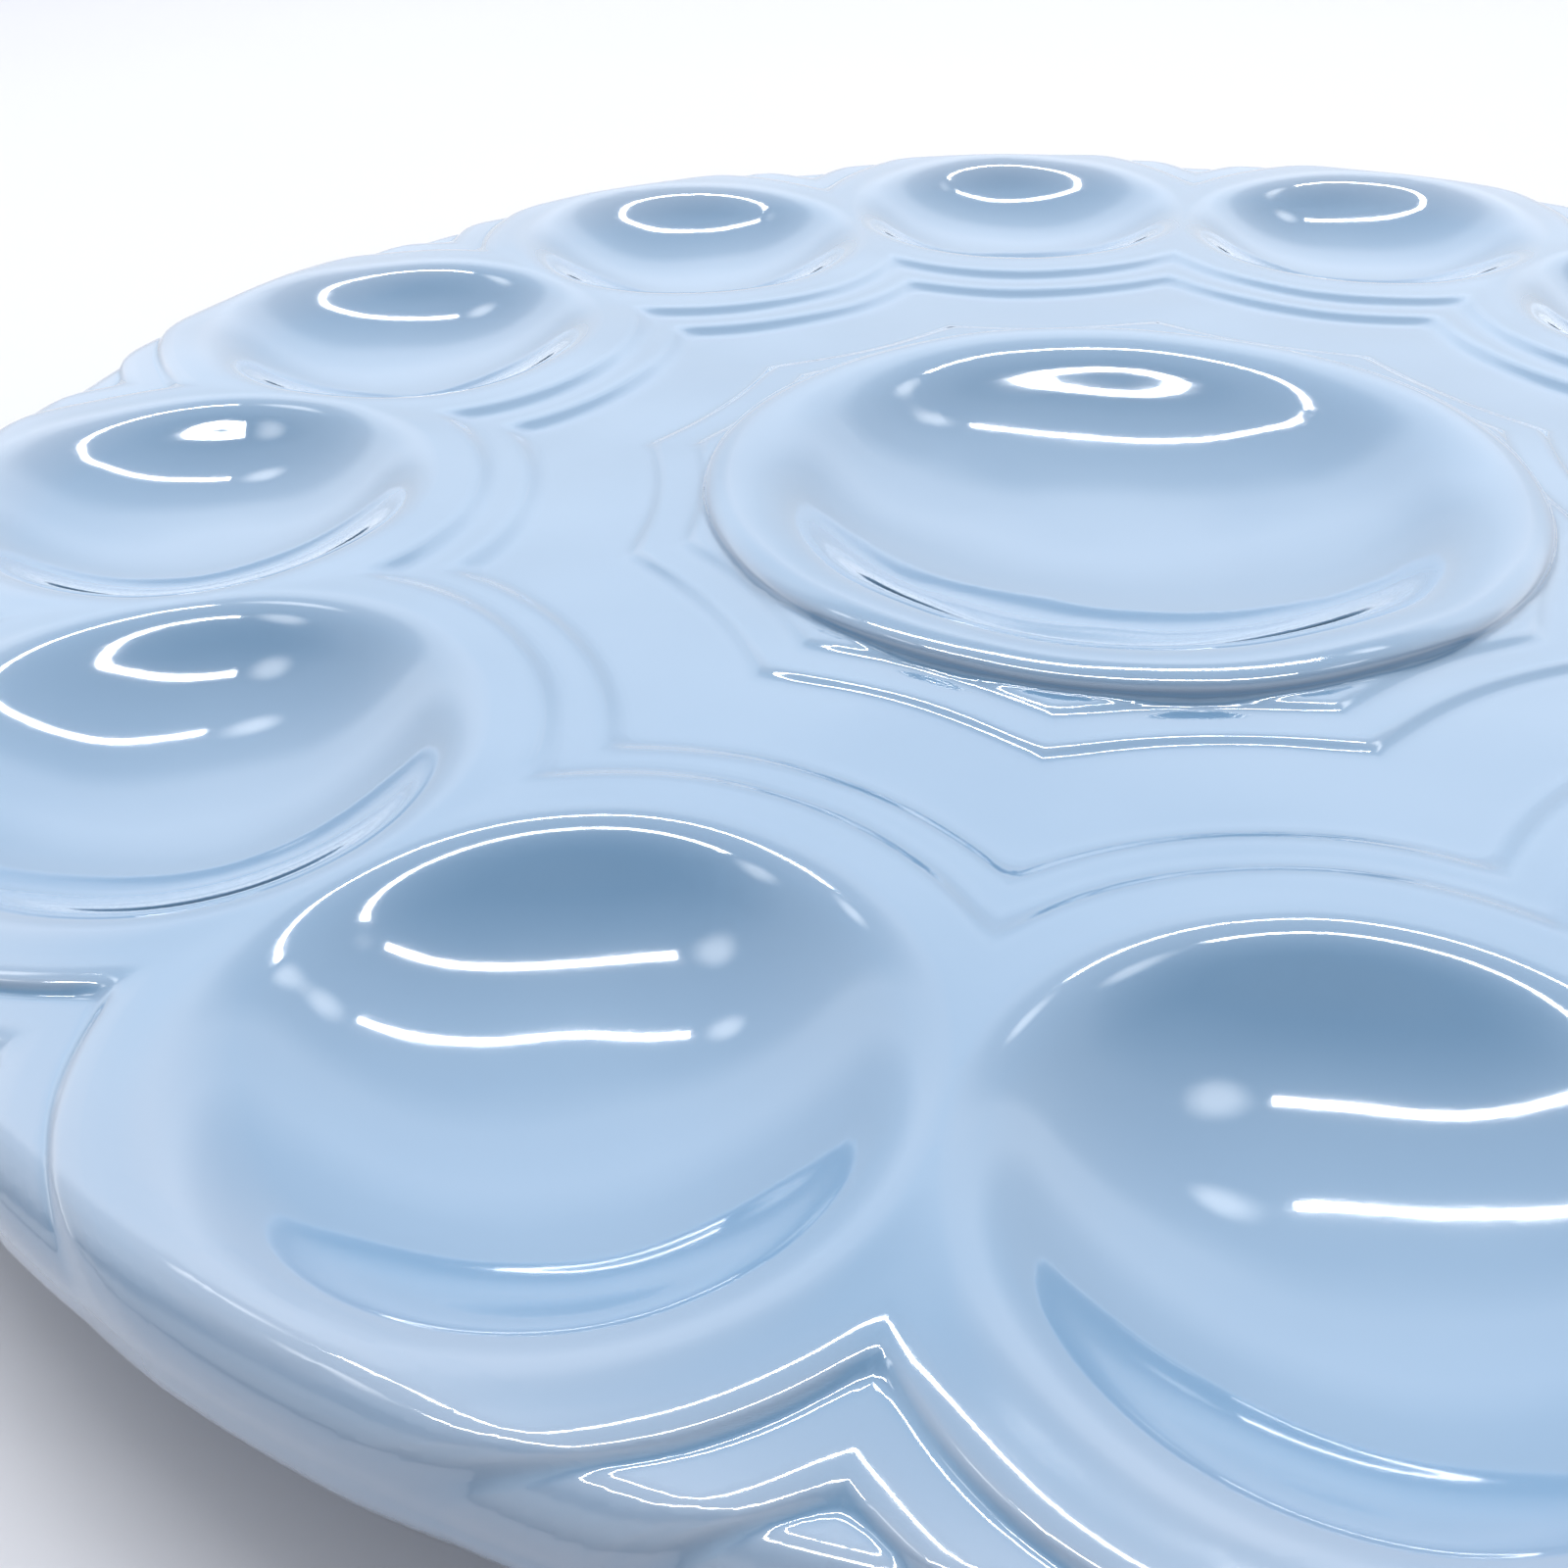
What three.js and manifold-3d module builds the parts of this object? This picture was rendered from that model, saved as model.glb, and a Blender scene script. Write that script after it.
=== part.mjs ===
// A deviled-egg serving plate: one slip-cast, glazed ceramic piece with twelve egg wells around a dip bowl.
// Millimetres, +Z up. The foot ring stands on z = 0, the plate is centred on x = y = 0, and egg well 0
// lies on the +Y axis.
import * as THREE from 'three';
import { mergeVertices } from 'three/addons/utils/BufferGeometryUtils.js';
import Module from 'manifold-3d';

const wasm = await Module();
wasm.setup();

// Driving dimensions
const PLATE_RADIUS = 146.3;
const WALL = 4.5;
const WELL_COUNT = 12;
const WELL_CIRCLE_RADIUS = 112.5;
const WELL_RADIUS = 28;
const WELL_DEPTH = 9.5;
const BOWL_RADIUS = 47;
const BOWL_DEPTH = 14.0;

// Heights: the flat field in the middle, and the shallow steps that rise from it
const FIELD_Z = 17.6;
const STEP_HEIGHT = 1.0;
const PLINTH_STEP_HEIGHT = 0.6;
const BEAD_HEIGHT = 2.8;
const LIP_HEIGHT = 0.4;
const MIDDLE_TIER_Z = FIELD_Z + STEP_HEIGHT;
const COLLAR_Z = FIELD_Z + 2 * STEP_HEIGHT;
const LOWER_PLINTH_Z = FIELD_Z + PLINTH_STEP_HEIGHT;
const UPPER_PLINTH_Z = FIELD_Z + 2 * PLINTH_STEP_HEIGHT;
const BEAD_Z = UPPER_PLINTH_Z + BEAD_HEIGHT;

// The rim is dished: outside DISH_START_RADIUS the whole plate rises by DISH_RISE up to its edge
const DISH_START_RADIUS = 80;
const DISH_RISE = 1.6;
const DISH_SLOPE = DISH_RISE / (PLATE_RADIUS - DISH_START_RADIUS);
const WELL_CREST_Z = COLLAR_Z + dishRise(WELL_CIRCLE_RADIUS) + LIP_HEIGHT;

// Step outlines: circles drawn about the well centres
const COLLAR_RADIUS = 34.8;
const MIDDLE_TIER_RADIUS = 40.7;
const LOWER_PLINTH_CUT_RADIUS = 57;
const UPPER_PLINTH_CUT_RADIUS = 62.6;
const STEP_DRAFT = 0.25;

// Rim edge: each lower tier is set back a little, and the skirt turns down all round
const TIER_SETBACK = 0.4;
const TIER_ROOT_Z = FIELD_Z - 2.5;
const EDGE_ROUND = 2.6;
const SKIRT_BOTTOM_Z = 11;
const SKIRT_WIDTH = 5;
const SKIRT_CHAMFER = 1.5;

// Brims: where a hollow's cap stops, inside and below the crest, and how far it flares above that
const LIP_OUTER_RADIUS = 32.4;
const WELL_BRIM_INSET = 0.8;
const WELL_BRIM_DROP = 1.2;
const WELL_FLARE = 0.4;
const BEAD_OUTER_RADIUS = 50;
const BEAD_ROUND = 2;
const BOWL_BRIM_INSET = 2.8;
const BOWL_BRIM_DROP = 1;
const BOWL_FLARE = -1.4;

// Underside
const DOME_SPREAD = 1.5;
const DOME_DROP = 2.4;
const FOOT_RADIUS = 74.5;
const FOOT_WIDTH = 4.5;
const FOOT_DRAFT = 1.2;

// Facets
const PLATE_SEGMENTS = 48;
const WELL_SEGMENTS = 24;
const DOME_SEGMENTS = 16;
const BOWL_SEGMENTS = 40;
const PLINTH_SEGMENTS = 4;
const HOLLOW_RINGS = 3;
const DOME_RINGS = 2;

// How far solids run into each other, and how far cutters run past a surface
const OVERLAP = 0.8;
const CUT_PAST = 0.1;
const CLEAR_OF_TOP = 12;
const WELD_DISTANCE = 1e-4;

/** Turns a closed geometry into a solid that can be joined and cut. */
function solidFrom(geometry) {
  geometry.deleteAttribute('normal');
  geometry.deleteAttribute('uv');
  const merged = mergeVertices(geometry, WELD_DISTANCE);
  const corners = merged.index.array;
  const triangles = [];
  for (let i = 0; i < corners.length; i += 3) {
    const [a, b, c] = corners.subarray(i, i + 3);
    if (a !== b && b !== c && c !== a) triangles.push(a, b, c);
  }
  return new wasm.Manifold(new wasm.Mesh({
    numProp: 3,
    vertProperties: new Float32Array(merged.attributes.position.array),
    triVerts: new Uint32Array(triangles),
  }));
}

/** Turns a solid back into a geometry. */
function geometryFrom(solid) {
  const mesh = solid.getMesh();
  const geometry = new THREE.BufferGeometry();
  geometry.setAttribute('position', new THREE.BufferAttribute(mesh.vertProperties, 3));
  geometry.setIndex(new THREE.BufferAttribute(mesh.triVerts, 1));
  geometry.computeVertexNormals();
  return geometry;
}

/** Revolves [radius, height] points, listed upwards along the outside, about the Z axis. */
function revolve(profile, segments) {
  const points = profile.map(([radius, height]) => new THREE.Vector2(radius, height));
  return new THREE.LatheGeometry(points, segments).rotateX(Math.PI / 2);
}

/** Points of a spherical cap from its lowest point on the axis out to its brim. */
function capProfile(brimRadius, brimZ, lowestZ, rings) {
  const depth = brimZ - lowestZ;
  const sphereRadius = (brimRadius ** 2 + depth ** 2) / (2 * depth);
  const brimAngle = Math.asin(brimRadius / sphereRadius);
  const points = [];
  for (let ring = 0; ring <= rings; ring += 1) {
    const angle = (brimAngle * ring) / rings;
    points.push([sphereRadius * Math.sin(angle), lowestZ + sphereRadius * (1 - Math.cos(angle))]);
  }
  return points;
}

/** Places a geometry built about the Z axis at well number `index`, tilted with the dished rim. */
function atWell(geometry, index) {
  const placed = geometry.clone();
  placed.rotateX(Math.atan(DISH_SLOPE));
  placed.translate(0, WELL_CIRCLE_RADIUS, 0);
  placed.rotateZ((index * 2 * Math.PI) / WELL_COUNT);
  return placed;
}

/** Joins one copy of a geometry at each of the twelve wells. */
function atEveryWell(geometry) {
  const copies = Array.from({ length: WELL_COUNT }, (_, index) => solidFrom(atWell(geometry, index)));
  return wasm.Manifold.union(copies);
}

/** Height that the dish adds at a given distance from the plate's centre. */
function dishRise(radius) {
  return Math.max(0, radius - DISH_START_RADIUS) * DISH_SLOPE;
}

/** A quarter-round edge, from the side wall at `radius` in to the top at topZ. */
function roundedEdge(radius, topZ, round) {
  return [1, 0.5, 0].map((share) => {
    const angle = (share * Math.PI) / 2;
    return [radius - round * (1 - Math.sin(angle)), topZ - round * (1 - Math.cos(angle))];
  });
}

/** The plate without its raised tiers: a dished disc, hollow underneath, with a skirt around its edge. */
function baseDisc() {
  const radius = PLATE_RADIUS - 2 * TIER_SETBACK;
  const skirtInner = radius - SKIRT_WIDTH;
  const undersideZ = FIELD_Z - WALL;
  return solidFrom(revolve([
    [0, undersideZ],
    [DISH_START_RADIUS, undersideZ],
    [skirtInner, undersideZ + dishRise(skirtInner)],
    [skirtInner + SKIRT_CHAMFER, SKIRT_BOTTOM_Z],
    [radius - SKIRT_CHAMFER, SKIRT_BOTTOM_Z],
    [radius, SKIRT_BOTTOM_Z + SKIRT_CHAMFER],
    ...roundedEdge(radius, FIELD_Z + dishRise(radius - EDGE_ROUND), EDGE_ROUND),
    [DISH_START_RADIUS, FIELD_Z],
    [0, FIELD_Z],
  ], PLATE_SEGMENTS));
}

/** Trims twelve tilted discs, joined with each other, to the rounded rim that a raised tier has. */
function trimmedTier(disc, topZ, plateRadius) {
  const shoulderZ = topZ + dishRise(plateRadius - EDGE_ROUND);
  const rim = solidFrom(revolve([
    [0, TIER_ROOT_Z],
    [plateRadius - EDGE_ROUND, TIER_ROOT_Z],
    [plateRadius, TIER_ROOT_Z + EDGE_ROUND],
    ...roundedEdge(plateRadius, shoulderZ, EDGE_ROUND),
    [plateRadius - EDGE_ROUND, shoulderZ + LIP_HEIGHT],
    [0, shoulderZ + LIP_HEIGHT],
  ], PLATE_SEGMENTS));
  return rim.intersect(atEveryWell(disc));
}

/** The middle tier: a plain step around every well. */
function middleTier() {
  const topZ = MIDDLE_TIER_Z + dishRise(WELL_CIRCLE_RADIUS);
  const disc = revolve([
    [0, TIER_ROOT_Z],
    [MIDDLE_TIER_RADIUS + STEP_DRAFT, TIER_ROOT_Z],
    [MIDDLE_TIER_RADIUS - STEP_DRAFT, topZ],
    [0, topZ],
  ], WELL_SEGMENTS);
  return trimmedTier(disc, MIDDLE_TIER_Z, PLATE_RADIUS - TIER_SETBACK);
}

/** The collars: the upper step around every well, which rises to a low lip at the well's mouth. */
function collars() {
  const topZ = COLLAR_Z + dishRise(WELL_CIRCLE_RADIUS);
  const disc = revolve([
    [0, TIER_ROOT_Z],
    [COLLAR_RADIUS + STEP_DRAFT, TIER_ROOT_Z],
    [COLLAR_RADIUS - STEP_DRAFT, topZ],
    [LIP_OUTER_RADIUS, topZ],
    [WELL_RADIUS, topZ + LIP_HEIGHT],
    [0, topZ + LIP_HEIGHT],
  ], WELL_SEGMENTS);
  return trimmedTier(disc, COLLAR_Z, PLATE_RADIUS);
}

/** A star-shaped plinth whose twelve hollow sides are arcs drawn about the well centres. */
function starPlinth(topZ, cutRadius) {
  const halfPitch = Math.PI / WELL_COUNT;
  const cuspRadius = WELL_CIRCLE_RADIUS * Math.cos(halfPitch)
    - Math.sqrt(cutRadius ** 2 - (WELL_CIRCLE_RADIUS * Math.sin(halfPitch)) ** 2);
  const outline = new THREE.Shape();
  for (let index = 0; index < WELL_COUNT; index += 1) {
    const bearing = index * 2 * halfPitch;
    const centre = new THREE.Vector2(WELL_CIRCLE_RADIUS, 0).rotateAround(new THREE.Vector2(), bearing);
    const first = new THREE.Vector2(cuspRadius, 0).rotateAround(new THREE.Vector2(), bearing - halfPitch);
    const last = new THREE.Vector2(cuspRadius, 0).rotateAround(new THREE.Vector2(), bearing + halfPitch);
    outline.absarc(
      centre.x, centre.y, cutRadius,
      first.sub(centre).angle(), last.sub(centre).angle(), true,
    );
  }
  const depth = topZ - FIELD_Z + OVERLAP;
  const plinth = new THREE.ExtrudeGeometry(outline, {
    depth,
    bevelEnabled: false,
    curveSegments: PLINTH_SEGMENTS,
  });
  return solidFrom(plinth.translate(0, 0, FIELD_Z - OVERLAP));
}

/** The rounded bead that stands around the dip bowl. */
function bowlBead() {
  const inner = BOWL_RADIUS - WALL;
  return solidFrom(revolve([
    [inner, FIELD_Z - OVERLAP],
    [BEAD_OUTER_RADIUS, FIELD_Z - OVERLAP],
    ...roundedEdge(BEAD_OUTER_RADIUS, BEAD_Z, BEAD_ROUND),
    [inner, BEAD_Z],
    [inner, FIELD_Z - OVERLAP],
  ], BOWL_SEGMENTS));
}

/** The hollow of one egg well: a spherical cap that flares out over the lip. */
function wellHollow() {
  const brimZ = WELL_CREST_Z - WELL_BRIM_DROP;
  return revolve([
    ...capProfile(WELL_RADIUS - WELL_BRIM_INSET, brimZ, WELL_CREST_Z - WELL_DEPTH, HOLLOW_RINGS),
    [WELL_RADIUS + WELL_FLARE, WELL_CREST_Z + CUT_PAST],
    [0, WELL_CREST_Z + CLEAR_OF_TOP],
  ], WELL_SEGMENTS);
}

/** The rounded underside of one egg well, one wall thickness below its hollow. */
function wellDome() {
  const brimZ = WELL_CREST_Z - DOME_DROP;
  return revolve([
    ...capProfile(WELL_RADIUS + DOME_SPREAD, brimZ, WELL_CREST_Z - WELL_DEPTH - WALL, DOME_RINGS),
    [0, brimZ],
  ], DOME_SEGMENTS);
}

/** The hollow of the dip bowl, rolled over at the bead. */
function bowlHollow() {
  const brimZ = BEAD_Z - BOWL_BRIM_DROP;
  return solidFrom(revolve([
    ...capProfile(BOWL_RADIUS - BOWL_BRIM_INSET, brimZ, BEAD_Z - BOWL_DEPTH, HOLLOW_RINGS),
    [BOWL_RADIUS + BOWL_FLARE, BEAD_Z + CUT_PAST],
    [0, BEAD_Z + CLEAR_OF_TOP],
  ], BOWL_SEGMENTS));
}

/** The rounded underside of the dip bowl. */
function bowlDome() {
  const brimZ = FIELD_Z - OVERLAP;
  return solidFrom(revolve([
    ...capProfile(BOWL_RADIUS, brimZ, BEAD_Z - BOWL_DEPTH - WALL, DOME_RINGS),
    [0, brimZ],
  ], BOWL_SEGMENTS));
}

/** The ring that the plate stands on. */
function footRing() {
  const inner = FOOT_RADIUS - FOOT_WIDTH / 2;
  const outer = FOOT_RADIUS + FOOT_WIDTH / 2;
  const rootZ = FIELD_Z - WALL + OVERLAP;
  return solidFrom(revolve([
    [inner, 0],
    [outer, 0],
    [outer + FOOT_DRAFT, rootZ],
    [inner - FOOT_DRAFT, rootZ],
    [inner, 0],
  ], PLATE_SEGMENTS));
}

/** The whole casting. */
function trayGeometry() {
  const casting = wasm.Manifold.union([
    baseDisc(),
    middleTier(),
    collars(),
    starPlinth(LOWER_PLINTH_Z, LOWER_PLINTH_CUT_RADIUS),
    starPlinth(UPPER_PLINTH_Z, UPPER_PLINTH_CUT_RADIUS),
    bowlBead(),
    atEveryWell(wellDome()),
    bowlDome(),
    footRing(),
  ]);
  return geometryFrom(casting.subtract(atEveryWell(wellHollow())).subtract(bowlHollow()));
}

const glaze = new THREE.MeshStandardMaterial({ color: 0xb4cfe9, roughness: 0.1, metalness: 0 });
const tray = new THREE.Mesh(trayGeometry(), glaze);
tray.name = 'tray';

const plate = new THREE.Group();
plate.add(tray);

export default plate;
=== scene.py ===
"""The finished look of the egg serving plate: one glazed ceramic casting on a pale studio floor.

The plate's plan repeats twelve times, once for each egg well, and nearly all its relief is drawn as circles
about the well centres. So one thirty-degree sector is gridded about its well, trimmed to the sector, raised
into a top and an underside by sections, and then copied round. Lengths are in millimetres, except in the
materials, the lights and the floor, which are in metres.
"""
import math

import bmesh
import bpy
import numpy as np
from mathutils import Matrix, Vector


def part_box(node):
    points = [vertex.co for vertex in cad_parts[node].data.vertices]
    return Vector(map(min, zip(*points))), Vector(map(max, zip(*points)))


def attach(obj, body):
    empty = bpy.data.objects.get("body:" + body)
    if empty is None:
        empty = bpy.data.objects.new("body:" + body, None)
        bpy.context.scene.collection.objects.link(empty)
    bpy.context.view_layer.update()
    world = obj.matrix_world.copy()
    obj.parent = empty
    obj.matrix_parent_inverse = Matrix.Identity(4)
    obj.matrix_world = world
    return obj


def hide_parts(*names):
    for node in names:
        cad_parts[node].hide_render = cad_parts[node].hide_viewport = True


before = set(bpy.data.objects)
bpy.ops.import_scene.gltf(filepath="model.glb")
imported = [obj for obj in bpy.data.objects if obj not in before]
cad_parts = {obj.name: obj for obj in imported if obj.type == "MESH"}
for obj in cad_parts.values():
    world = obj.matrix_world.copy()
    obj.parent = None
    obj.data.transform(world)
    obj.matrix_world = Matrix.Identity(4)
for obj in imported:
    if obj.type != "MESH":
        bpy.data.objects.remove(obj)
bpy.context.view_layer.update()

# --- Driving dimensions ------------------------------------------------------------------------------------
TRAY_LOW, TRAY_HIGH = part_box("tray")
PLATE_RADIUS = 146.3
MM = (TRAY_HIGH[0] - TRAY_LOW[0]) / (2 * PLATE_RADIUS)
WELLS = 12
SECTOR = 2 * math.pi / WELLS
WELL_CIRCLE = 112.5
WALL = 4.5
FIELD_Z = 17.6
STEP_HEIGHT = 1.0
PLINTH_STEP = 0.6
COLLAR_Z = FIELD_Z + 2 * STEP_HEIGHT
PLINTH_Z = FIELD_Z + 2 * PLINTH_STEP
BEAD_HEIGHT = 2.3
BEAD_Z = PLINTH_Z + BEAD_HEIGHT
LIP_HEIGHT = 0.15
WELL_DEPTH = 9.5
BOWL_DEPTH = 14.0
DISH_START = 80.0
DISH_RISE = 2.0
COLLAR_RADIUS = 34.8
MIDDLE_RADIUS = 40.7
LOWER_PLINTH_CUT = 57.0
UPPER_PLINTH_CUT = 62.6
BEAD_RADIUS = 50.0
EDGE_ROUND = 4.6
LOWER_ROUND = 3.6
# The rim steps in by half of SETBACK past a collar's edge, and by the rest past the middle tier's
SETBACK = 0.8
SETBACK_REACH = (-0.5, 1.5)
SETBACK_START = PLATE_RADIUS - 9.0
SETBACK_RAMP = 7.0
SKIRT_Z = 11.0
SKIRT_WIDTH = 5.0
SKIRT_INNER = PLATE_RADIUS - SETBACK - SKIRT_WIDTH
FOOT_RADIUS = 74.5

# --- Sections ----------------------------------------------------------------------------------------------
# A step's section: (offset past its edge, share of its height lost), stretched by its spread
STEP_SECTION = (
    (-1.1, 0.0), (-0.75, 0.0), (-0.5, 0.02), (-0.25, 0.09), (0.0, 0.24), (0.25, 0.48), (0.5, 0.71),
    (0.75, 0.87), (1.05, 0.96), (1.4, 0.995), (1.8, 1.0),
)
# In the notches of the rim the steps roll over slowly and then fall: (offset past the edge, degrees)
NOTCH_SLOPES = (
    (-1.8, 0.0), (-1.0, 7.0), (0.2, 17.0), (0.45, 34.0), (0.8, 44.0), (1.1, 30.0), (1.4, 8.0), (1.8, 0.0),
)
# The tiers' steps are soft up to one distance from the plate's centre and notch-like past the other
SOFT_RADIUS = 98.0
NOTCH_RADIUS = 122.0
SOFT_SPREAD = 2.3
PLINTH_SPREAD = 1.45
# The width over which two neighbouring wells' steps are blended into a rounded corner
NECK_ROUND = 2.4
# Rings drawn about a well's centre: close together across each step, and a few on the flats between
STEP_RINGS = np.linspace(-2.8, 3.3, 25)
FLAT_RINGS = (46.0, 50.0, 65.5, 68.0)

# How steeply each hollow's wall rises, as (distance from its centre, slope in degrees), up to its crest
WELL_SLOPES = (
    (0.0, 0.0), (6.0, 5.5), (12.0, 14.0), (18.0, 24.5), (21.0, 30.5), (23.0, 33.7), (25.0, 31.6),
    (26.5, 24.0), (28.0, 12.0), (29.4, 0.0),
)
BOWL_SLOPES = (
    (0.0, 0.0), (15.0, 9.0), (29.0, 22.0), (33.5, 29.5), (36.0, 34.6), (38.0, 36.2), (40.0, 32.0),
    (42.3, 22.0), (44.5, 12.0), (46.8, 0.0),
)
# The outer side of a well's lip, as (distance from the well's centre, drop below its crest)
LIP_FALL = ((30.2, 0.02), (31.0, 0.06), (32.0, 0.11), (33.2, LIP_HEIGHT))

# The underside's caps, one under each well and one under the bowl, which ends at BOWL_REACH.
# CLEAR is a height above everything, and a distance beyond every well.
WELL_CAP_RADIUS = 29.5
WELL_CAP_DEPTH = WELL_DEPTH + WALL - 2.4
BOWL_CAP_RADIUS = 47.0
BOWL_CAP_DEPTH = 14.4
CAP_BLEND = 2.0
BOWL_REACH = 60.0
CLEAR = 99.0

# The slight unevenness of slip-cast clay under a flowed glaze, as (wavelength, height) of its waves.
# It fades out towards the foot, so that the plate stands flat.
WAVES = ((70, 0.07), (46, 0.06), (31, 0.045), (22, 0.024), (15, 0.009), (10, 0.003))
WAVES_PER_LENGTH = 3
WAVES_START_Z = 5.0
WAVES_FULL_Z = 8.0


def wall_height(radius, slopes):
    """Height gained up to a distance by a surface of the given slopes, from where they begin."""
    distances, degrees = np.array(slopes).T
    fine = np.linspace(distances[0], distances[-1], 600)
    steepness = np.tan(np.radians(np.interp(fine, distances, degrees)))
    rises = (steepness[1:] + steepness[:-1]) / 2 * np.diff(fine)
    return np.interp(radius, fine, np.concatenate([[0.0], np.cumsum(rises)]))


def cap_height(radius, brim_radius, depth):
    """Height above its lowest point of a spherical cap, `depth` deep at brim_radius."""
    sphere = (brim_radius ** 2 + depth ** 2) / (2 * depth)
    return sphere - np.sqrt(np.maximum(sphere ** 2 - np.asarray(radius, float) ** 2, 0.0))


def dish(radius):
    """Height that the dished rim adds at a distance from the plate's centre, steepening outwards."""
    share = (np.asarray(radius, float) - DISH_START) / (PLATE_RADIUS - DISH_START)
    return DISH_RISE * np.maximum(share, 0.0) ** 4


def well_section():
    """A well's hollow, its rounded crest and its flat collar: (distance from the well's centre, height)."""
    lip_z = COLLAR_Z + LIP_HEIGHT
    crest = WELL_SLOPES[-1][0]
    wide_rings, close_rings = np.linspace(0.0, 21.0, 14), np.linspace(22.0, crest, 12)
    radii = np.concatenate([wide_rings, close_rings])
    hollow = lip_z - wall_height(crest, WELL_SLOPES) + wall_height(radii, WELL_SLOPES)
    points = list(zip(radii, hollow))
    points += [(radius, lip_z - fall) for radius, fall in LIP_FALL]
    return np.array(points)


def step_share(offset):
    """The share of a step's height lost at an offset past its edge."""
    offsets, shares = zip(*STEP_SECTION)
    return np.interp(offset, offsets, shares)


def notch_share(offset):
    """The same for a step in the notches of the rim."""
    return wall_height(offset, NOTCH_SLOPES) / wall_height(NOTCH_SLOPES[-1][0], NOTCH_SLOPES)


def well_distances(bearing, radius):
    """Distance from the nearest well's centre, blended where two wells meet."""
    own, neighbour = (
        np.sqrt(radius ** 2 + WELL_CIRCLE ** 2 - 2 * radius * WELL_CIRCLE * np.cos(angle))
        for angle in (np.abs(bearing), SECTOR - np.abs(bearing))
    )
    return smooth_minimum(own, neighbour, NECK_ROUND)


def relief(well_distance, radius):
    """Height of the wells, their tiers, the field and the star plinths, before the rim is dished."""
    height = np.interp(well_distance, WELL_SECTION[:, 0], WELL_SECTION[:, 1])
    notched = np.interp(radius, (SOFT_RADIUS, NOTCH_RADIUS), (0.0, 1.0))
    for edge in (COLLAR_RADIUS, MIDDLE_RADIUS):
        past = well_distance - edge
        share = (1 - notched) * step_share(past / SOFT_SPREAD) + notched * notch_share(past)
        height = height - STEP_HEIGHT * share
    for edge in (LOWER_PLINTH_CUT, UPPER_PLINTH_CUT):
        height = height + PLINTH_STEP * (1 - step_share((edge - well_distance) / PLINTH_SPREAD))
    return height


def well_rings():
    """Distances from a well's centre at which the plan needs a ring."""
    rings = list(WELL_SECTION[1:, 0])
    for edge in (COLLAR_RADIUS, MIDDLE_RADIUS):
        rings += list(edge + STEP_RINGS)
    for edge in (LOWER_PLINTH_CUT, UPPER_PLINTH_CUT):
        rings += list(edge - STEP_RINGS)
    rings += FLAT_RINGS
    return sorted(set(np.round(rings, 3)))


# Sections as (distance from the plate's centre, height above the upper plinth)
BEAD_FOOT = ((BEAD_RADIUS, 0.4), (50.15, 0.2), (50.35, 0.08), (50.6, 0.02), (50.9, 0.0), (51.3, 0.0))
BEAD_SECTION = (
    (49.95, 0.65), (49.86, 0.97), (49.7, 1.21), (49.45, 1.43), (49.1, 1.63), (48.7, 1.81), (48.3, 1.95),
    (47.9, 2.07), (47.5, 2.18), (47.1, 2.27),
)
# The foot ring's section as (distance from the ring's middle, height above the floor)
FOOT_SECTION = (
    (-6.5, 12.5), (-4.8, 12.3), (-3.9, 11.6), (-3.4, 10.2), (-2.35, 1.2), (-2.15, 0.5), (-1.75, 0.12),
    (-1.3, 0.0), (1.3, 0.0), (1.75, 0.12), (2.15, 0.5), (2.35, 1.2), (3.4, 10.2), (3.9, 11.6), (4.8, 12.3),
    (6.5, 12.5),
)
# The skirt's inner side, as (distance past SKIRT_INNER, height above the floor)
SKIRT_SECTION = ((-1.2, 15.0), (0.0, 13.4), (1.6, 11.4), (2.4, SKIRT_Z))
WELL_SECTION = well_section()


def rounded_radii(radius, round_, steps):
    """Radii at even angles around a quarter-round edge, ending on the side wall."""
    angles = np.linspace(0.0, math.pi / 2, steps + 1)
    return radius - round_ * (1 - np.sin(angles))


def edge_drop(radius, edge, round_):
    """How far a quarter-round edge has fallen below its shoulder."""
    past = np.clip(np.asarray(radius, float) - (edge - round_), 0.0, round_)
    return round_ - np.sqrt(np.maximum(round_ ** 2 - past ** 2, 0.0))


def smooth_minimum(a, b, width):
    """The lower of two heights, with the crease between them rounded over `width`."""
    mix = np.clip(0.5 + 0.5 * (b - a) / width, 0.0, 1.0)
    return b * (1 - mix) + a * mix - width * mix * (1 - mix)


def undulation(x, y):
    """The sum of all the waves, each with its own heading and phase."""
    rng = np.random.default_rng(11)
    total = np.zeros_like(x)
    for wavelength, height in WAVES:
        for _ in range(WAVES_PER_LENGTH):
            heading = rng.uniform(0, 2 * math.pi)
            phase = rng.uniform(0, 2 * math.pi)
            along = x * math.cos(heading) + y * math.sin(heading)
            total += height * np.sin(2 * math.pi * along / wavelength + phase)
    return total


def top_height(well_distance, radius):
    """Height of the plate's upper surface."""
    height = relief(well_distance, radius) + dish(radius)
    foot_radii, foot_rise = zip(*BEAD_FOOT)
    height += np.interp(radius, foot_radii, foot_rise, right=0.0)
    return height - edge_drop(radius, PLATE_RADIUS, EDGE_ROUND)


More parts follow.
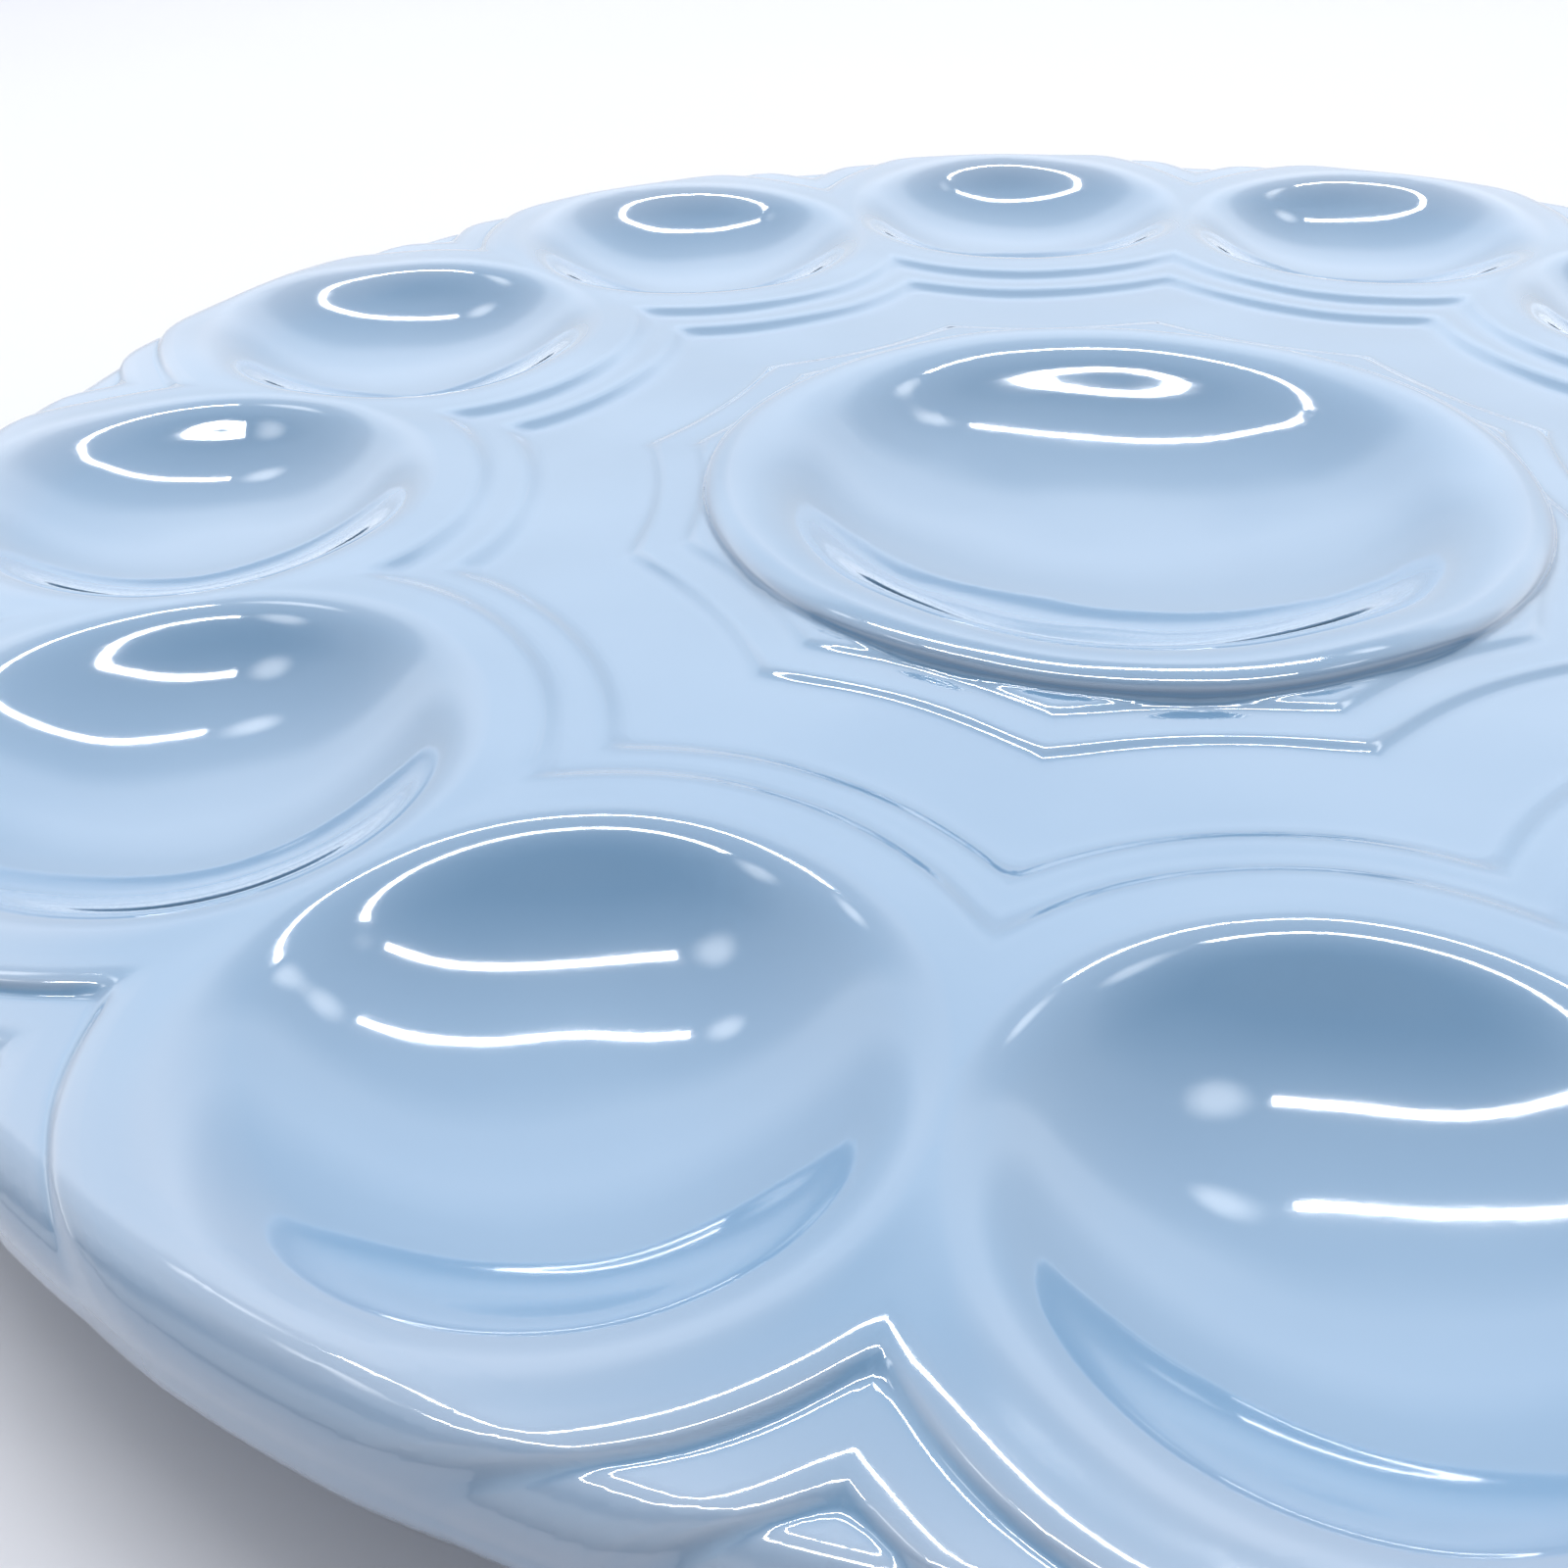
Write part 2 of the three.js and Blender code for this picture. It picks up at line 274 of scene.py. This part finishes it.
def underside_height(well_distance, radius):
    """Height of the plate's underside: a dished slab with a dome under each hollow, a foot and a skirt."""
    slab = FIELD_Z - WALL + dish(radius)
    well_low = COLLAR_Z + LIP_HEIGHT - WELL_DEPTH - WALL
    well_dome = well_low + dish(radius) + cap_height(well_distance, WELL_CAP_RADIUS, WELL_CAP_DEPTH)
    bowl_dome = BEAD_Z - BOWL_DEPTH - WALL + cap_height(radius, BOWL_CAP_RADIUS, BOWL_CAP_DEPTH)
    height = smooth_minimum(slab, np.where(radius < BOWL_REACH, bowl_dome, well_dome), CAP_BLEND)
    offsets, levels = zip(*FOOT_SECTION)
    foot = np.interp(radius - FOOT_RADIUS, offsets, levels, left=CLEAR, right=CLEAR)
    offsets, levels = zip(*SKIRT_SECTION)
    skirt = np.interp(radius - SKIRT_INNER, offsets, levels, left=CLEAR)
    height = np.minimum(height, np.minimum(foot, skirt))
    return height + edge_drop(radius, PLATE_RADIUS, LOWER_ROUND)


def plan_radii():
    """Distances from the plate's centre at which the plan needs a line of its own."""
    lines = list(rounded_radii(PLATE_RADIUS, EDGE_ROUND, 10)[:-1])
    lines += [radius for radius, _ in BEAD_FOOT[1:]]
    lines += [FOOT_RADIUS + offset for offset, _ in FOOT_SECTION]
    lines += [SKIRT_INNER + offset for offset, _ in SKIRT_SECTION]
    return lines


def sector_plan(columns=150):
    """One sector's plan as points (bearing, radius) and faces, gridded about its well's centre."""
    rings = well_rings()
    angles = np.arange(columns) * 2 * math.pi / columns
    plan = bmesh.new()

    def point(ring, angle):
        x, y = ring * math.sin(angle), WELL_CIRCLE + ring * math.cos(angle)
        return plan.verts.new((math.atan2(x, y) * WELL_CIRCLE, math.hypot(x, y), 0.0))

    middle = point(0.0, 0.0)
    loops = [[point(ring, angle) for angle in angles] for ring in rings]
    for column in range(columns):
        after = (column + 1) % columns
        plan.faces.new((middle, loops[0][after], loops[0][column]))
        for inner, outer in zip(loops, loops[1:]):
            plan.faces.new((inner[column], inner[after], outer[after], outer[column]))
    half = SECTOR / 2 * WELL_CIRCLE
    trims = [((half, 0, 0), (1, 0, 0)), ((-half, 0, 0), (-1, 0, 0))]
    trims += [((0, BEAD_RADIUS, 0), (0, -1, 0)), ((0, PLATE_RADIUS, 0), (0, 1, 0))]
    for place, facing in trims:
        geometry = plan.verts[:] + plan.edges[:] + plan.faces[:]
        bmesh.ops.bisect_plane(
            plan, geom=geometry, dist=1e-4, plane_co=place, plane_no=facing, clear_outer=True,
        )
    for radius in plan_radii():
        geometry = plan.verts[:] + plan.edges[:] + plan.faces[:]
        bmesh.ops.bisect_plane(plan, geom=geometry, dist=1e-4, plane_co=(0, radius, 0), plane_no=(0, 1, 0))
    plan.verts.index_update()
    points = np.array([(v.co.x / WELL_CIRCLE, v.co.y) for v in plan.verts])
    faces = [[v.index for v in face.verts] for face in plan.faces]
    plan.free()
    return points, faces


class Surface:
    """Collects welded points and faces, in millimetres."""

    def __init__(self):
        self.points = []
        self.faces = []
        self.count = 0

    def add_points(self, points):
        """Adds points and returns their numbers."""
        self.points.append(np.asarray(points, float))
        first = self.count
        self.count += len(points)
        return np.arange(first, self.count)

    def bridge(self, loop_a, loop_b):
        """Joins two closed loops of the same length with quads."""
        for index in range(len(loop_a)):
            after = (index + 1) % len(loop_a)
            self.faces.append([loop_a[index], loop_a[after], loop_b[after], loop_b[index]])


def cartesian(bearing, radius, height):
    """Plan polar coordinates to x, y, z; bearing 0 is +Y."""
    bearing, radius, height = np.broadcast_arrays(bearing, radius, height)
    return np.stack([radius * np.sin(bearing), radius * np.cos(bearing), height], axis=1)


def edge_setback(well_distance, radius):
    """How far the rim is set back where the collars' and the middle tier's steps have dropped."""
    edges = [edge + reach for edge in (COLLAR_RADIUS, MIDDLE_RADIUS) for reach in SETBACK_REACH]
    depth = np.interp(well_distance, edges, (0.0, SETBACK / 2, SETBACK / 2, SETBACK))
    ramp = np.clip((radius - SETBACK_START) / SETBACK_RAMP, 0.0, 1.0)
    return depth * ramp * ramp * (3 - 2 * ramp)


def plate_surface():
    """The whole plate as one closed surface."""
    plan, plan_faces = sector_plan()
    surface = Surface()
    rims = []
    for well in range(WELLS):
        bearing = plan[:, 0] + well * SECTOR
        radius = plan[:, 1]
        distance = well_distances(plan[:, 0], radius)
        placed = radius - edge_setback(distance, radius)
        top = surface.add_points(cartesian(bearing, placed, top_height(distance, radius)))
        under = surface.add_points(cartesian(bearing, placed, underside_height(distance, radius)))
        for face in plan_faces:
            surface.faces.append([top[i] for i in face])
            surface.faces.append([under[i] for i in reversed(face)])
        rims.append((top, under))
    add_middle(surface, plan, rims)
    add_edge(surface, plan, rims)
    return surface


def border(plan, radius):
    """Numbers of one sector's plan points on a line of constant radius, in order of bearing."""
    on_line = np.flatnonzero(np.abs(plan[:, 1] - radius) < 1e-3)
    return on_line[np.argsort(plan[on_line, 0])]


def full_loop(plan, rims, radius, side):
    """The points of all twelve sectors on a line of constant radius, each seam's point once."""
    numbers = border(plan, radius)[:-1]
    return np.concatenate([rim[side][numbers] for rim in rims])


def full_bearings(plan, radius):
    """The bearings that go with full_loop."""
    numbers = border(plan, radius)[:-1]
    return np.concatenate([plan[numbers, 0] + well * SECTOR for well in range(WELLS)])


def add_middle(surface, plan, rims):
    """The bead, the dip bowl and the underside inside the bead."""
    bearings = full_bearings(plan, BEAD_RADIUS)
    loop = full_loop(plan, rims, BEAD_RADIUS, 0)
    crest = BOWL_SLOPES[-1][0]
    bowl_low = BEAD_Z - wall_height(crest, BOWL_SLOPES)
    sections = [(radius, PLINTH_Z + rise) for radius, rise in BEAD_SECTION]
    close_rings, wide_rings = np.linspace(crest, 28.0, 26), np.linspace(26.5, 1.0, 18)
    for radius in np.concatenate([close_rings, wide_rings]):
        sections.append((radius, bowl_low + float(wall_height(radius, BOWL_SLOPES))))
    for radius, height in sections:
        ring = surface.add_points(cartesian(bearings, radius, height))
        surface.bridge(loop, ring)
        loop = ring
    surface.faces.append(list(loop))
    loop = full_loop(plan, rims, BEAD_RADIUS, 1)
    for radius in np.linspace(BEAD_RADIUS - 2.0, 2.0, 18):
        height = underside_height(CLEAR, radius)
        ring = surface.add_points(cartesian(bearings, radius, height))
        surface.bridge(ring, loop)
        loop = ring
    surface.faces.append(list(loop[::-1]))


def add_edge(surface, plan, rims, rings=5):
    """The side wall, between the rounded top edge and the skirt's rounded bottom edge."""
    points = np.concatenate(surface.points)
    loop = full_loop(plan, rims, PLATE_RADIUS, 0)
    bottom = full_loop(plan, rims, PLATE_RADIUS, 1)
    upper, lower = points[loop], points[bottom]
    for index in range(1, rings):
        share = index / rings
        ring = surface.add_points(upper + (lower - upper) * share)
        surface.bridge(ring, loop)
        loop = ring
    surface.bridge(bottom, loop)


# How strongly glaze gathers in hollows, and how far it thins towards the rim
POOLING_GAIN = 10.0
POOLING_PASSES = 3
RIM_THINNING = 0.55
THINNING_START = 122.0
THINNING_LENGTH = 20.0


def pooling(mesh):
    """How much glaze has gathered at each vertex, from -1 on crests to 1 in creases."""
    count = len(mesh.vertices)
    points = np.empty(count * 3)
    normals = np.empty(count * 3)
    ends = np.empty(len(mesh.edges) * 2, dtype=np.int64)
    mesh.vertices.foreach_get("co", points)
    mesh.vertices.foreach_get("normal", normals)
    mesh.edges.foreach_get("vertices", ends)
    points, normals, ends = points.reshape(-1, 3), normals.reshape(-1, 3), ends.reshape(-1, 2)
    start, end = np.concatenate([ends[:, 0], ends[:, 1]]), np.concatenate([ends[:, 1], ends[:, 0]])
    along = points[end] - points[start]
    length = np.maximum(np.linalg.norm(along, axis=1), 1e-7)
    bend = np.einsum("ij,ij->i", along, normals[start]) / length
    degree = np.maximum(np.bincount(start, minlength=count), 1)
    hollow = np.bincount(start, weights=bend, minlength=count) / degree
    for _ in range(POOLING_PASSES):
        hollow = 0.5 * hollow + 0.5 * np.bincount(start, weights=hollow[end], minlength=count) / degree
    radius = np.hypot(points[:, 0], points[:, 1]) / MM
    rim = np.clip((radius - THINNING_START) / THINNING_LENGTH, 0.0, 1.0)
    return np.clip(hollow * POOLING_GAIN - RIM_THINNING * rim, -1.0, 1.0)


# In metres: the distances within which points are one, and below which an edge is a sliver
WELD_DISTANCE = 3e-6
SLIVER_LENGTH = 2e-6
# The foot ring's underside, below this height in millimetres, is wiped clean of glaze
CLAY_BELOW = 0.25


def build_tray(glaze, bare_clay):
    """The plate as one Blender mesh."""
    surface = plate_surface()
    points = np.concatenate(surface.points)
    waviness = np.clip((points[:, 2] - WAVES_START_Z) / (WAVES_FULL_Z - WAVES_START_Z), 0.0, 1.0)
    points[:, 2] += undulation(points[:, 0], points[:, 1]) * waviness
    mesh = bpy.data.meshes.new("tray_casting")
    mesh.from_pydata((points * MM).tolist(), [], surface.faces)
    work = bmesh.new()
    work.from_mesh(mesh)
    bmesh.ops.remove_doubles(work, verts=work.verts[:], dist=WELD_DISTANCE)
    bmesh.ops.dissolve_degenerate(work, edges=work.edges[:], dist=SLIVER_LENGTH)
    bmesh.ops.recalc_face_normals(work, faces=work.faces[:])
    for face in work.faces:
        face.smooth = True
        face.material_index = int(face.calc_center_median().z < CLAY_BELOW * MM)
    work.to_mesh(mesh)
    work.free()
    mesh.materials.append(glaze)
    mesh.materials.append(bare_clay)
    attribute = mesh.attributes.new("pooling", "FLOAT", "POINT")
    attribute.data.foreach_set("value", pooling(mesh).astype(np.float32))
    tray = bpy.data.objects.new("tray_casting", mesh)
    bpy.context.scene.collection.objects.link(tray)
    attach(tray, "root")
    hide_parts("tray")


# --- Materials ---------------------------------------------------------------------------------------------
class Nodes:
    """A short way to write a material's nodes."""

    def __init__(self, name):
        self.material = bpy.data.materials.new(name)
        self.material.use_nodes = True
        self.tree = self.material.node_tree
        self.shader = self.tree.nodes["Principled BSDF"]
        coordinates = self.tree.nodes.new("ShaderNodeTexCoord")
        self.place = coordinates.outputs["Object"]

    def link(self, output, target):
        self.tree.links.new(output, target)

    def noise(self, scale, detail=2.0, roughness=0.5):
        node = self.tree.nodes.new("ShaderNodeTexNoise")
        node.inputs["Scale"].default_value = scale
        node.inputs["Detail"].default_value = detail
        node.inputs["Roughness"].default_value = roughness
        self.link(self.place, node.inputs["Vector"])
        return node.outputs["Fac"]

    def ramp(self, value, *stops):
        """A colour ramp; each stop is (position, colour or grey level)."""
        node = self.tree.nodes.new("ShaderNodeValToRGB")
        elements = node.color_ramp.elements
        while len(elements) < len(stops):
            elements.new(0.5)
        for element, (position, colour) in zip(elements, stops):
            element.position = position
            element.color = (*colour, 1.0) if isinstance(colour, tuple) else (colour, colour, colour, 1.0)
        self.link(value, node.inputs["Fac"])
        return node.outputs["Color"]

    def mix(self, factor, first, second, blend="MIX"):
        node = self.tree.nodes.new("ShaderNodeMix")
        node.data_type = "RGBA"
        node.blend_type = blend
        sockets = (node.inputs["Factor"], node.inputs[6], node.inputs[7])
        for socket, value in zip(sockets, (factor, first, second)):
            if isinstance(value, bpy.types.NodeSocket):
                self.link(value, socket)
            elif isinstance(value, tuple):
                socket.default_value = (*value, 1.0)
            else:
                socket.default_value = value
        return node.outputs[2]

    def map_range(self, value, low, high, to_low=0.0, to_high=1.0):
        node = self.tree.nodes.new("ShaderNodeMapRange")
        self.link(value, node.inputs["Value"])
        for name, number in (("From Min", low), ("From Max", high), ("To Min", to_low), ("To Max", to_high)):
            node.inputs[name].default_value = number
        return node.outputs["Result"]

    def attribute(self, name):
        node = self.tree.nodes.new("ShaderNodeAttribute")
        node.attribute_name = name
        return node.outputs["Fac"]

    def bump(self, height, distance, strength=1.0):
        node = self.tree.nodes.new("ShaderNodeBump")
        node.inputs["Strength"].default_value = strength
        node.inputs["Distance"].default_value = distance
        self.link(height, node.inputs["Height"])
        self.link(node.outputs["Normal"], self.shader.inputs["Normal"])


GLAZE_DEEP = (0.154, 0.286, 0.449)
GLAZE_PALE = (0.171, 0.304, 0.466)
GLAZE_POOLED = (0.118, 0.232, 0.388)
GLAZE_THIN = (0.27, 0.35, 0.465)
SPECK_COLOUR = (0.055, 0.05, 0.055)
GLAZE_IOR = 1.6
FLOOR_DEEP = (0.665, 0.675, 0.72)
FLOOR_PALE = (0.69, 0.70, 0.74)
CLAY_DEEP = (0.66, 0.63, 0.57)
CLAY_PALE = (0.78, 0.755, 0.70)


def glaze_material():
    """Glossy blue glaze: paler where it thins over crests, deeper where it pools, with sparse specks."""
    nodes = Nodes("sky_blue_glaze")
    shader = nodes.shader
    body = nodes.ramp(nodes.noise(38, 3), (0.3, GLAZE_DEEP), (0.7, GLAZE_PALE))
    pool = nodes.attribute("pooling")
    pooled = nodes.mix(nodes.map_range(pool, 0.1, 1.0), body, GLAZE_POOLED)
    broken = nodes.mix(nodes.map_range(pool, -0.12, -0.9), pooled, GLAZE_THIN)
    specks = nodes.tree.nodes.new("ShaderNodeTexVoronoi")
    specks.inputs["Scale"].default_value = 70
    nodes.link(nodes.place, specks.inputs["Vector"])
    spot = nodes.ramp(specks.outputs["Distance"], (0.0, 1.0), (0.022, 1.0), (0.034, 0.0))
    chosen = nodes.ramp(specks.outputs["Color"], (0.0, 0.0), (0.80, 0.0), (0.81, 1.0))
    speck = nodes.mix(1.0, spot, chosen, "MULTIPLY")
    nodes.link(nodes.mix(speck, broken, SPECK_COLOUR), shader.inputs["Base Color"])
    nodes.link(nodes.map_range(nodes.noise(60, 2), 0.3, 0.7, 0.05, 0.09), shader.inputs["Roughness"])
    shader.inputs["IOR"].default_value = GLAZE_IOR
    shader.inputs["Coat Weight"].default_value = 1.0
    shader.inputs["Coat Roughness"].default_value = 0.02
    shader.inputs["Coat IOR"].default_value = GLAZE_IOR
    nodes.bump(nodes.noise(900, 2), 0.00001, 0.35)
    return nodes.material


def clay_material():
    """The bare fired clay where the foot ring was wiped clean of glaze."""
    nodes = Nodes("bare_clay")
    tone = nodes.ramp(nodes.noise(420, 4), (0.35, CLAY_DEEP), (0.65, CLAY_PALE))
    nodes.link(tone, nodes.shader.inputs["Base Color"])
    nodes.link(nodes.map_range(nodes.noise(900, 2), 0.3, 0.7, 0.75, 0.92), nodes.shader.inputs["Roughness"])
    nodes.bump(nodes.noise(2600, 3), 0.00005, 0.6)
    return nodes.material


def floor_material():
    """A pale matt studio floor."""
    nodes = Nodes("studio_floor")
    tone = nodes.ramp(nodes.noise(3, 2), (0.3, FLOOR_DEEP), (0.7, FLOOR_PALE))
    nodes.link(tone, nodes.shader.inputs["Base Color"])
    nodes.shader.inputs["Roughness"].default_value = 0.7
    return nodes.material


# --- Stage, light and camera -------------------------------------------------------------------------------
FLOOR_REACH = 8.0


def add_floor():
    """The floor that the foot ring stands on."""
    mesh = bpy.data.meshes.new("floor")
    low, high = -FLOOR_REACH, FLOOR_REACH
    corners = [(low, low, 0), (high, low, 0), (high, high, 0), (low, high, 0)]
    mesh.from_pydata(corners, [], [(0, 1, 2, 3)])
    mesh.materials.append(floor_material())
    floor = bpy.data.objects.new("floor", mesh)
    bpy.context.scene.collection.objects.link(floor)


def add_area_light(name, place, size, power):
    """A rectangular area light facing straight down; returns the light."""
    light = bpy.data.lights.new(name, "AREA")
    light.shape = "RECTANGLE"
    light.size, light.size_y = size
    light.energy = power
    lamp = bpy.data.objects.new(name, light)
    lamp.location = place
    lamp.rotation_euler = Vector((0, 0, -1)).to_track_quat("-Z", "Y").to_euler()
    bpy.context.scene.collection.objects.link(lamp)
    return light


def math_node(tree, operation, first, second):
    """A Math node's result; each input is a socket to link or a number."""
    node = tree.nodes.new("ShaderNodeMath")
    node.operation = operation
    for socket, value in zip(node.inputs, (first, second)):
        if isinstance(value, bpy.types.NodeSocket):
            tree.links.new(value, socket)
        else:
            socket.default_value = value
    return node.outputs["Value"]


def light_place(light):
    """A light's node tree, and the place on the light from (0, 0) to (1, 1) at its corners."""
    light.use_nodes = True
    tree = light.node_tree
    return tree, tree.nodes.new("ShaderNodeNewGeometry").outputs["Parametric"]


def set_strength(tree, value, low, high, to_low, to_high, interpolation="LINEAR"):
    """Makes a light's strength follow a value, from one range to another."""
    level = tree.nodes.new("ShaderNodeMapRange")
    level.interpolation_type = interpolation
    for name, number in (("From Min", low), ("From Max", high), ("To Min", to_low), ("To Max", to_high)):
        level.inputs[name].default_value = number
    tree.links.new(value, level.inputs["Value"])
    tree.links.new(level.outputs["Result"], tree.nodes["Emission"].inputs["Strength"])


def led_texture(light, count):
    """Breaks a strip light into a row of separate bright spots."""
    tree, place = light_place(light)
    split = tree.nodes.new("ShaderNodeSeparateXYZ")
    tree.links.new(place, split.inputs["Vector"])
    phase = math_node(tree, "MULTIPLY", split.outputs["X"], count)
    set_strength(tree, math_node(tree, "PINGPONG", phase, 0.5), 0.1, 0.34, 0.0, 2.1)


def soft_texture(light):
    """Fades a panel light from its middle to nothing at its edges."""
    tree, place = light_place(light)
    from_middle = tree.nodes.new("ShaderNodeVectorMath")
    from_middle.operation = "DISTANCE"
    from_middle.inputs[1].default_value = (0.5, 0.5, 0.0)
    tree.links.new(place, from_middle.inputs[0])
    set_strength(tree, from_middle.outputs["Value"], 0.1, 0.5, 1.0, 0.0, "SMOOTHSTEP")


# The surround's brightness by its height above the back horizon, in degrees over to the front horizon
SURROUND = (
    (0, 0.95), (10, 1.05), (20, 1.3), (32, 1.95), (45, 2.05), (52, 1.5), (80, 1.1), (92, 0.55), (101, 0.22),
    (110, 0.25), (122, 0.8), (150, 0.8), (180, 0.35),
)
STRIP_HEIGHT = 0.8
STRIP_ENDS = (-0.36, 0.34)
STRIP_WIDTH = 0.03
STRIP_PLACES = (0.03, 0.355)
STRIP_POWER = 1.6
LEDS_PER_STRIP = 140
# A soft image of the strip beyond each of its ends
IMAGE_GAP = 0.11
IMAGE_DROP = 0.02
IMAGE_SIZE = (0.20, 0.15)
IMAGE_POWER = 0.22
SURROUND_TINT = (0.95, 0.965, 1.0)
BACKDROP = (0.96, 0.97, 1.0)


def add_surround():
    """A white tent, bright behind and dark overhead in front; seen directly, it is a plain pale backdrop."""
    world = bpy.data.worlds.new("light_tent")
    world.use_nodes = True
    tree = world.node_tree
    direction = tree.nodes.new("ShaderNodeTexCoord")
    split = tree.nodes.new("ShaderNodeSeparateXYZ")
    tree.links.new(direction.outputs["Generated"], split.inputs["Vector"])
    above = math_node(tree, "MAXIMUM", split.outputs["Z"], 0.0)
    angle = math_node(tree, "ARCTAN2", above, split.outputs["Y"])
    share = math_node(tree, "DIVIDE", angle, math.pi)
    ramp = tree.nodes.new("ShaderNodeValToRGB")
    brightest = max(level for _, level in SURROUND)
    elements = ramp.color_ramp.elements
    while len(elements) < len(SURROUND):
        elements.new(0.5)
    for element, (degrees, level) in zip(elements, SURROUND):
        element.position = degrees / 180
        element.color = [level / brightest * tint for tint in SURROUND_TINT] + [1.0]
    tree.links.new(share, ramp.inputs["Fac"])
    background = tree.nodes["Background"]
    tree.links.new(ramp.outputs["Color"], background.inputs["Color"])
    background.inputs["Strength"].default_value = brightest
    plain = tree.nodes.new("ShaderNodeBackground")
    plain.inputs["Color"].default_value = (*BACKDROP, 1.0)
    path = tree.nodes.new("ShaderNodeLightPath")
    choice = tree.nodes.new("ShaderNodeMixShader")
    tree.links.new(path.outputs["Is Camera Ray"], choice.inputs["Fac"])
    tree.links.new(background.outputs["Background"], choice.inputs[1])
    tree.links.new(plain.outputs["Background"], choice.inputs[2])
    tree.links.new(choice.outputs["Shader"], tree.nodes["World Output"].inputs["Surface"])
    bpy.context.scene.world = world


def add_lights():
    """The tent, two overhead strips of lamps and the strips' soft images in the tent's silvery sides."""
    add_surround()
    middle = sum(STRIP_ENDS) / 2
    strip_size = (STRIP_ENDS[1] - STRIP_ENDS[0], STRIP_WIDTH)
    for number, place in enumerate(STRIP_PLACES):
        strip = add_area_light(f"strip_{number}", (middle, place, STRIP_HEIGHT), strip_size, STRIP_POWER)
        led_texture(strip, LEDS_PER_STRIP)
        for end in STRIP_ENDS:
            at = (end + math.copysign(IMAGE_GAP, end), place, STRIP_HEIGHT - IMAGE_DROP)
            soft_texture(add_area_light(f"image_{number}", at, IMAGE_SIZE, IMAGE_POWER))


# The view: the point looked at and the distance in millimetres, and the angles about it
VIEW_TARGET = (-39.8, -62.8, 18.2)
VIEW_AZIMUTH = math.radians(1.19)
VIEW_ELEVATION = math.radians(34.93)
VIEW_ROLL = math.radians(-1.31)
VIEW_DISTANCE = 152.2
SENSOR_WIDTH = 36.0
LENS_TO_SENSOR = 1.061


def add_camera():
    """The camera, close above the near left of the plate."""
    target = Vector(VIEW_TARGET) * MM
    heading = Vector((math.sin(-VIEW_AZIMUTH), math.cos(VIEW_AZIMUTH), 0.0))
    back = -heading * math.cos(VIEW_ELEVATION) + Vector((0, 0, math.sin(VIEW_ELEVATION)))
    camera = bpy.data.cameras.new("camera")
    camera.sensor_width = SENSOR_WIDTH
    camera.lens = SENSOR_WIDTH * LENS_TO_SENSOR
    camera.clip_start = 0.005
    holder = bpy.data.objects.new("camera", camera)
    turn = (-back).to_track_quat("-Z", "Y").to_matrix() @ Matrix.Rotation(VIEW_ROLL, 3, "Z")
    holder.matrix_world = Matrix.Translation(target + back * VIEW_DISTANCE * MM) @ turn.to_4x4()
    bpy.context.scene.collection.objects.link(holder)
    bpy.context.scene.camera = holder


bpy.context.scene.view_settings.view_transform = "Standard"
add_camera()
add_floor()
add_lights()
build_tray(glaze_material(), clay_material())
